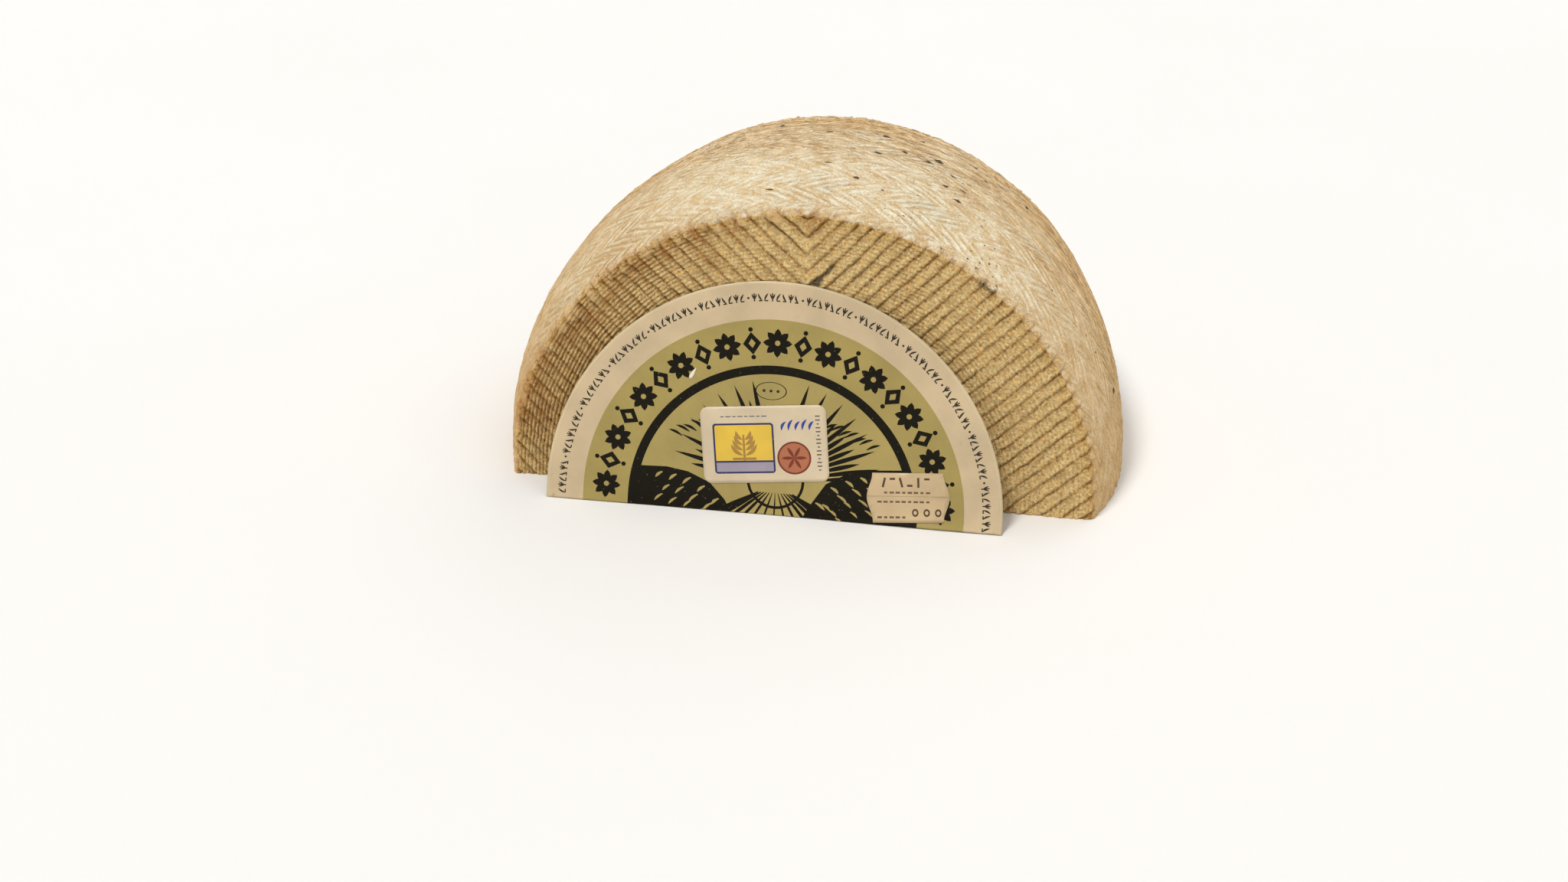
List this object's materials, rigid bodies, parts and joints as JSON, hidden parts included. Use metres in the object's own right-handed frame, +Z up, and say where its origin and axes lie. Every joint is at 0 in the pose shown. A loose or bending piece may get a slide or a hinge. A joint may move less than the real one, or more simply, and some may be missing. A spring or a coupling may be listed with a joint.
{
  "type": "half cheese wheel",
  "caption": "Half a wheel of pressed, aged sheep's-milk cheese standing on its cut face: plaited rind, V-ridged flat faces and a round paper label",
  "frame": {"origin": "the middle of the flat cut face that the half wheel stands on, midway between its two pressed faces", "axes": "+Z up, +X to the right along the cut, -Y towards the viewer: the labelled face looks along -Y and the whole wheel's own axis runs along Y"},
  "size_m": [0.2052, 0.1166, 0.1046],
  "materials": {
    "rind": "dry natural rind, matt and grainy",
    "label_paper": "printed paper under a thin satin film",
    "sticker_paper": "satin self-adhesive paper"
  },
  "bodies": {
    "root": {"cheese_half_wheel": "rind", "round_label": "label_paper", "quality_sticker": "sticker_paper", "date_sticker": "sticker_paper"}
  },
  "joints": []
}
